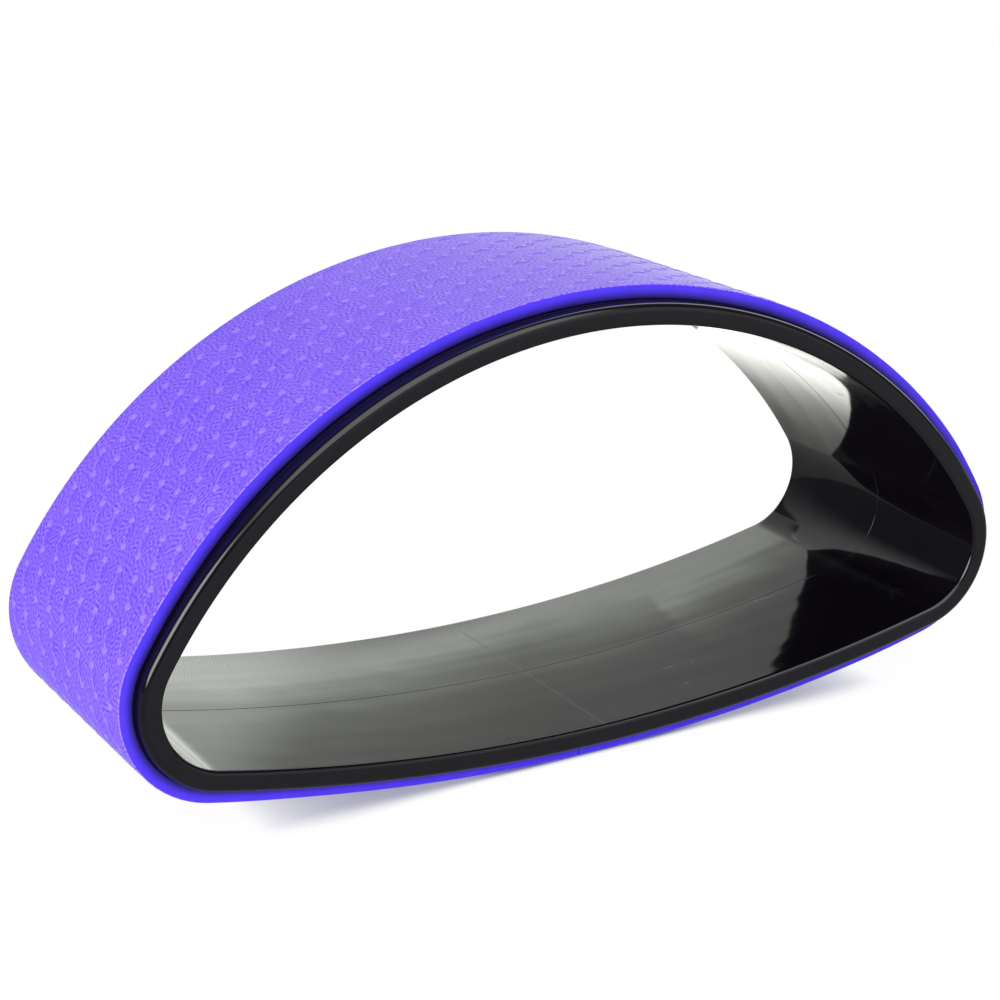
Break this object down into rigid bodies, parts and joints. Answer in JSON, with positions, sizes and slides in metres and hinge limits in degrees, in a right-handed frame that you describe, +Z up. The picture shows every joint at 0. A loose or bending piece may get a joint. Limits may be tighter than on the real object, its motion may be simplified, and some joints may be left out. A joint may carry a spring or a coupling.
{
  "type": "yoga wheel",
  "caption": "Half-moon yoga wheel: a D-shaped moulded ring with a rocker base, wrapped in an embossed foam mat, for back stretching and balance work.",
  "frame": {"origin": "on the floor under the middle of the rocker base, half-way across the width", "axes": "+X along the length, +Y through the opening from the front rim to the rear rim, +Z up to the crown"},
  "size_m": [0.4, 0.13, 0.19],
  "materials": {
    "shell": "black ABS, glossy inside, satin on the rim faces",
    "mat": "matte closed-cell TPE foam with an embossed face",
    "adhesive": "thin bonding film, hidden"
  },
  "bodies": {
    "root": {"front_half_shell": "shell", "rear_half_shell": "shell", "mat": "mat", "mat_adhesive": "adhesive"}
  },
  "joints": []
}
